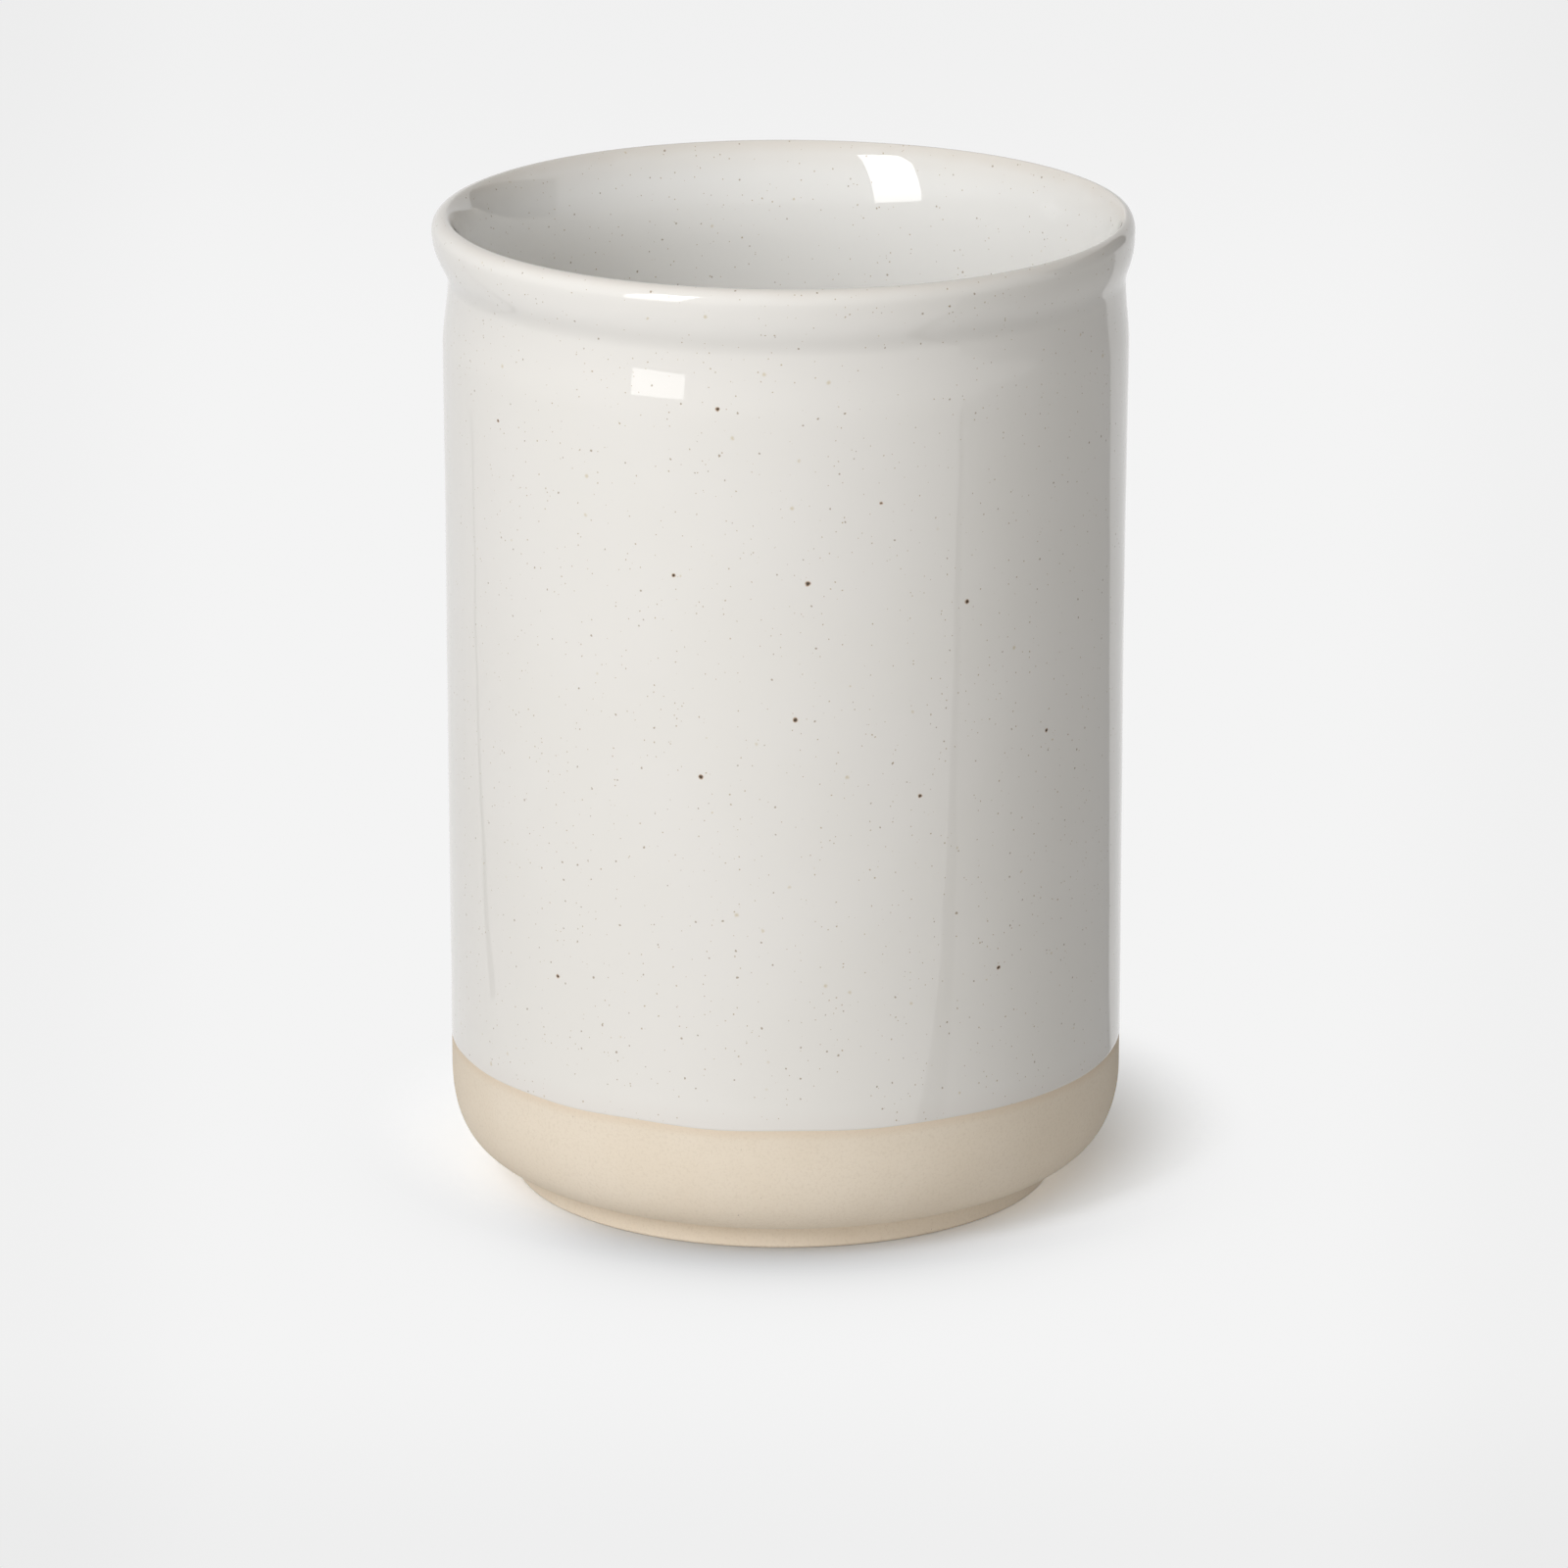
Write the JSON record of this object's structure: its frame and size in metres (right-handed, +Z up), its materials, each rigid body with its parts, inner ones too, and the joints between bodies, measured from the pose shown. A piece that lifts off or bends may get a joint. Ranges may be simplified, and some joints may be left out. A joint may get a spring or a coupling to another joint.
{
  "type": "utensil holder",
  "caption": "Round straight-sided crock with a rolled lip, a deep open well and a trimmed foot ring, for standing kitchen utensils upright on a counter.",
  "frame": {"origin": "centre of the foot ring's resting plane, on the holder's axis", "axes": "+Z runs up along the holder's axis to the lip. The holder is round, so X and Y are free: +X is to the picture's right and -Y faces its viewer"},
  "size_m": [0.13, 0.13, 0.1847],
  "materials": {
    "bare_stoneware": "unglazed, matt, fine sandy grain with sparse dark specks",
    "speckled_glaze": "glossy warm white, scattered with grey and brown iron specks"
  },
  "bodies": {
    "root": {"stoneware_body": "bare_stoneware", "outer_glaze": "speckled_glaze", "liner_glaze": "speckled_glaze"}
  },
  "joints": []
}
